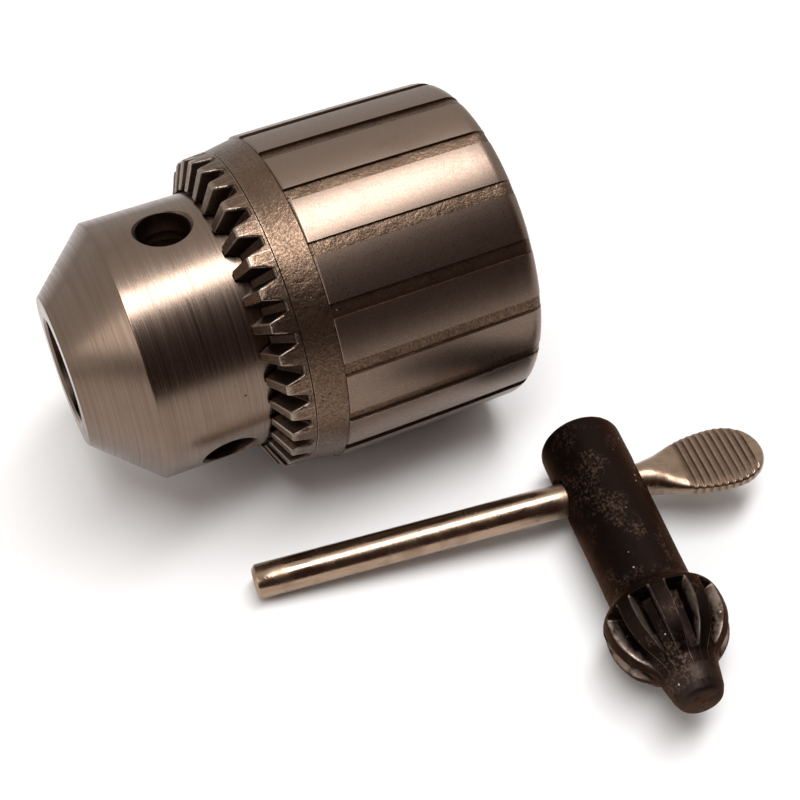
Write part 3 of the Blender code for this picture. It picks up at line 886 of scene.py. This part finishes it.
# ---- key ----------------------------------------------------------------------------------------
def key_frame():
    """The key lies on the shank's end and the pinion's widest ring, the long arm's end on the floor."""
    tilt = math.asin((PINION_R - SHANK_R) / (PINION_WIDEST - 1.6))
    az = math.radians(KEY_AZIMUTH)
    along = Vector((math.cos(az) * math.cos(tilt), math.sin(az) * math.cos(tilt), math.sin(tilt)))
    level = Vector((0.0, 0.0, 1.0)).cross(along).normalized()
    up = along.cross(level)
    start_z = SHANK_R / math.cos(tilt) - 1.6 * math.sin(tilt) + 0.03
    cross_z = start_z + HANDLE_AT * math.sin(tilt)
    droop = math.asin((cross_z - HANDLE_R - 0.03) / (HANDLE_LONG_ARM - 0.45))
    long_arm = -level * math.cos(droop) - up * math.sin(droop)
    origin = (KEY_TOP[0] * MM, KEY_TOP[1] * MM, start_z * MM)
    return framed(along, long_arm, along.cross(long_arm), origin)


SHANK_TAPER = ((3.2, 5.40), (9.0, 5.40), (21.0, 5.20), (25.6, 5.15))
PINION_OUTSIDE = (
    (25.6, 5.15), (26.2, 5.18), (26.6, 5.30), (27.0, 5.53), (27.3, 5.80), (27.6, 6.16),
    (27.9, 6.53), (28.2, 6.84), (28.5, 7.03), (28.9, 7.17), (29.4, 7.26), (30.4, 7.32),
    (31.8, 7.22), (32.8, 6.95), (34.0, 6.40), (34.9, 5.80), (35.6, 5.05), (36.2, 4.32),
    (36.6, 3.92), (36.9, 3.70), (37.4, 3.53), (38.0, 3.42), (38.6, 3.32),
)
PINION_FLOOR = (
    (29.0, 6.0), (29.5, 5.15), (31.0, 4.90), (34.0, 4.60), (36.0, 4.20), (37.3, 3.72), (38.0, 3.43),
)
PINION_ROOT_HALF = 7.0
PINION_MOUTH_HALF = 10.6
FLUTES = (28.9, 38.0)
PILOT_START = 38.6


def key_rows():
    """The key's (x, r) outline from the middle of the shank's end to the middle of the pilot's end."""
    shank = fillet([(0.0, 0.0), (0.0, SHANK_R - 0.01), (3.2, SHANK_R)], (0.0, 1.5, 0.0), 9)
    rows = [(0.0, 1.2)] + [q for q in shank if q[1] > 0.01]
    for k in range(1, 13):
        x = 3.2 + (25.4 - 3.2) * k / 12.0
        rows.append((x, interpolated(x, SHANK_TAPER)))
    x = 25.7
    while x < PILOT_START - 0.1:
        rows.append((x, interpolated(x, PINION_OUTSIDE)))
        x += 0.15 if x < 30.0 or x > 36.0 else 0.42
    pilot = [(PILOT_START, 3.32), (KEY_LENGTH - 1.2, 3.02), (KEY_LENGTH, 2.45), (KEY_LENGTH, 0.6)]
    return rows + fillet(pilot, (0.0, 1.1, 0.9, 0.0), 6)


def flute(x, r, degrees):
    """Radius and wear of the pinion at a point whose outside radius is r."""
    mouth_half = PINION_MOUTH_HALF - 0.8 * abs(x - PINION_WIDEST) / 6.0
    off = off_middle(degrees, PINION_PHASE, PINION_TEETH)
    gap = soft_gap(off, PINION_ROOT_HALF, mouth_half, 0.25, 3)
    root = min(r, interpolated(x, PINION_FLOOR))
    enter = clamped((x - FLUTES[0] - 0.05) / 0.45)
    leave = clamped((FLUTES[1] - x) / 0.5)
    on_flank = 1.0 if 0.06 < gap < 0.55 else 0.0
    near_edge = math.exp(-((gap - 0.03) / 0.05) ** 2) if gap > 0.001 else 0.0
    worn = on_flank * math.exp(-((x - 32.3) / 3.1) ** 4) + near_edge * 0.35
    return r + (root - r) * gap * enter * enter * (3.0 - 2.0 * enter) * leave, min(1.0, worn)


def make_key_body():
    """The shank, fluted pinion and pilot as one skin, with the cross hole for the bar cut through."""
    offsets = (0.0, 3.5, 5.6, 6.4, 7.0, 7.6, 8.4, 9.2, 9.9, 10.4, 10.9, 11.6, 13.5, 15.8, 18.0)
    rows = key_rows()
    columns = []
    wear = []
    for angle in sorted(angles_about(PINION_PHASE, PINION_TEETH, offsets)):
        column = []
        for x, r in rows:
            if FLUTES[0] < x < FLUTES[1]:
                r, worn = flute(x, r, angle)
            else:
                worn = 0.06 if x > FLUTES[1] else 0.0
            column.append(ring_point(x, r, math.radians(angle)))
            wear.append(worn)
        columns.append(column)
    verts, faces, _ = grid_ring(columns, False)
    n = len(rows)
    count = len(columns)
    for end, x in ((0, 0.0), (n - 1, KEY_LENGTH)):
        verts.append((x, 0.0, 0.0))
        wear.append(0.0)
        middle = len(verts) - 1
        for c in range(count):
            d = (c + 1) % count
            faces.append((middle, c * n + end, d * n + end))
    obj = piece("key_forging", (verts, faces), ["oxide"], "key", key_frame(),
                "key_body", None, {"wear": wear})
    r = HANDLE_R + 0.3
    hole = revolved([
        (-7.0, 0.0), (-7.0, r + 2.15), (-4.72, r), (4.72, r), (7.0, r + 2.15), (7.0, 0.0),
    ], 72)
    turn = Matrix(((0, -1, 0, HANDLE_AT), (1, 0, 0, 0), (0, 0, 1, 0), (0, 0, 0, 1)))
    cut(obj, placed(hole[:2], turn), "oxide")
    smooth(obj, 34.0)
    own_normals(obj, shank_normal)


def shank_normal(co, normal):
    """The true normal of the shank, which the cross hole cuts into."""
    radius = math.hypot(co.y, co.z)
    if not 3.3 < co.x < 25.5 or abs(radius - interpolated(co.x, SHANK_TAPER)) >= 0.04:
        return None
    found = Vector((0.0, co.y / radius, co.z / radius))
    return found if found.dot(normal) > SAME_SIDE else None


def handle_section(y, half_width, half_thick, squareness):
    """A loop round the bar at y: an ellipse at squareness 2, nearer a rectangle above that."""
    loop = []
    power = 2.0 / squareness
    for i in range(SECTION_POINTS):
        c = math.cos(TAU * i / SECTION_POINTS)
        s = math.sin(TAU * i / SECTION_POINTS)
        x = half_width * math.copysign(abs(c) ** power, c)
        z = half_thick * math.copysign(abs(s) ** power, s)
        loop.append((HANDLE_AT + x, y, z))
    return loop


GRIP_WIDTH = (
    (5.6, 2.2), (6.6, 2.40), (7.4, 2.62), (8.2, 2.90), (9.4, 3.40), (10.7, 3.94), (12.0, 4.34),
    (13.4, 4.62), (14.6, 4.77), (15.6, 4.84), (16.4, 4.85), (17.2, 4.79), (18.0, 4.64), (18.8, 4.37),
    (19.5, 4.00), (20.1, 3.56), (20.6, 3.08), (21.0, 2.55), (21.3, 2.02), (21.5, 1.52), (21.62, 1.08),
    (21.68, 0.7), (21.7, 0.3),
)
GRIP_THICKNESS = (
    (5.6, 2.2), (6.6, 2.12), (7.6, 1.92), (8.6, 1.64), (9.6, 1.36), (10.6, 1.18), (12.0, 1.08),
    (16.0, 1.02), (20.0, 0.98), (21.0, 0.86), (21.5, 0.62), (21.7, 0.36),
)
GRIP_SQUARENESS = ((5.6, 2.0), (8.0, 2.4), (10.0, 3.4), (12.0, 4.4), (19.0, 4.2), (21.7, 2.6))


def rib_notch(d):
    """0 on the crest of a rib of the thumb grip, 1 at the bottom of the notch behind it."""
    if not RIBS[0] < d < RIBS[1]:
        return 0.0
    phase = ((d - RIBS[0]) / RIB_PITCH) % 1.0
    return phase / 0.72 if phase < 0.72 else (1.0 - phase) / 0.28


def make_handle():
    """The bar from its chamfered end through the shank to the ribbed thumb grip."""
    r = HANDLE_R
    bar_start = HANDLE_LONG_ARM - 0.55
    grip_start = GRIP_WIDTH[0][0]
    sections = [
        handle_section(HANDLE_LONG_ARM, 0.6, 0.6, 2.0),
        handle_section(HANDLE_LONG_ARM, r - 0.62, r - 0.62, 2.0),
        handle_section(HANDLE_LONG_ARM - 0.03, r - 0.50, r - 0.50, 2.0),
        handle_section(HANDLE_LONG_ARM - 0.42, r - 0.08, r - 0.08, 2.0),
        handle_section(bar_start, r, r, 2.0),
    ]
    # These values darken the plating: slightly on the bar's end and over the grip, and as painted shade
    # where the bar passes into the shank and in the rib notches.
    grime_and_painted_shade = [0.1, 0.1, 0.0, 0.0, 0.0]
    for k in range(1, 24):
        y = bar_start - (bar_start + grip_start) * k / 24.0
        sections.append(handle_section(y, r, r, 2.0))
        # Painted shade where the bar passes into the shank.
        grime_and_painted_shade.append(0.55 if abs(y) < 6.2 else 0.0)
    d = grip_start
    while d < HANDLE_SHORT_ARM - 0.001:
        notch = rib_notch(d)
        width = interpolated(d, GRIP_WIDTH) - 0.02 * notch
        thick = interpolated(d, GRIP_THICKNESS) - 0.22 * notch
        sections.append(handle_section(-d, width, thick, interpolated(d, GRIP_SQUARENESS)))
        # Slightly darker over the grip, with painted shade deepening toward each notch bottom.
        grime_and_painted_shade.append(0.25 + max(0.0, notch - 0.3) * 1.05 if d > RIBS[0] else 0.15)
        d += 0.0792 if 10.3 < d < 20.1 else (0.3 if d < 10.4 else 0.1)
    sections.append(handle_section(-HANDLE_SHORT_ARM, 0.25, 0.34, 2.6))
    grime_and_painted_shade.append(0.0)
    values = [g for g in grime_and_painted_shade for _ in range(SECTION_POINTS)]
    obj = piece("key_tee_bar", lofted(sections), ["plate"], "key", key_frame(),
                "key_handle", None, {"grime_and_painted_shade": values})
    smooth(obj, 36.0)


make_body()
make_sleeve()
for index, jaw_angle in enumerate(JAW_ANGLES):
    make_jaw(index + 1, jaw_angle)
make_key_body()
make_handle()
for half in ("nut_half_a", "nut_half_b"):
    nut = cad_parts[half]
    nut.data.materials.clear()
    nut.data.materials.append(MATS["nut"])


# ---- floor, light and camera --------------------------------------------------------------------
def floor():
    mesh = bpy.data.meshes.new("floor")
    corners = [(-3.0, -3.0, 0.0), (3.0, -3.0, 0.0), (3.0, 3.0, 0.0), (-3.0, 3.0, 0.0)]
    mesh.from_pydata(corners, [], [(0, 1, 2, 3)])
    mesh.materials.append(Shader("pale_floor", (0.80, 0.785, 0.77), 0.0, 0.75).mat)
    obj = linked("floor", mesh)
    obj.location.z = -0.0001


def soft_light(name, location, target, size_x, size_y, power, color):
    data = bpy.data.lights.new(name, "AREA")
    data.shape = "RECTANGLE"
    data.size = size_x
    data.size_y = size_y
    data.energy = power
    data.color = color
    obj = linked(name, data)
    obj.location = location
    direction = Vector(target) - Vector(location)
    obj.rotation_euler = direction.to_track_quat("-Z", "Y").to_euler()


def surroundings():
    """A pale room, dark on the viewer's side, so that the steel mirrors a dark band."""
    world = bpy.data.worlds.new("studio")
    bpy.context.scene.world = world
    world.use_nodes = True
    tree = world.node_tree
    back = tree.nodes["Background"]
    coord = tree.nodes.new("ShaderNodeTexCoord")
    dot = tree.nodes.new("ShaderNodeVectorMath")
    dot.operation = "DOT_PRODUCT"
    dot.inputs[1].default_value = Vector((-0.1, -1.0, 0.32)).normalized()
    tree.links.new(coord.outputs["Generated"], dot.inputs[0])
    ramp = tree.nodes.new("ShaderNodeValToRGB")
    ramp.color_ramp.interpolation = "EASE"
    ramp.color_ramp.elements[0].position = 0.12
    ramp.color_ramp.elements[0].color = (0.82, 0.80, 0.78, 1.0)
    ramp.color_ramp.elements[1].position = 0.50
    ramp.color_ramp.elements[1].color = (0.052, 0.027, 0.021, 1.0)
    tree.links.new(dot.outputs["Value"], ramp.inputs["Fac"])
    tree.links.new(ramp.outputs["Color"], back.inputs["Color"])
    back.inputs["Strength"].default_value = 1.0


floor()
surroundings()
soft_light("overhead", (0.02, -0.030, 0.46), (-0.01, 0.02, 0.02), 0.46, 0.125, 2.45, (0.95, 0.97, 1.0))
soft_light("left_panel", (-0.55, -0.10, 0.32), (0.0, 0.0, 0.02), 0.4, 0.4, 1.0, (1.0, 0.96, 0.92))

camera = linked("camera", bpy.data.cameras.new("camera"))
camera.data.sensor_width = 36.0
camera.data.lens = 62.6
camera.data.clip_start = 0.005
forward = Vector((0.2880, 0.5959, -0.7497)).normalized()
right = Vector((0.9003, -0.4352, 0.0)).normalized()
eye = NOSE + Vector((-0.01295, -0.12154, 0.14656 - NOSE.z))
camera.matrix_world = framed(right, right.cross(forward), -forward, eye)
bpy.context.scene.camera = camera
bpy.context.scene.view_settings.view_transform = "Standard"
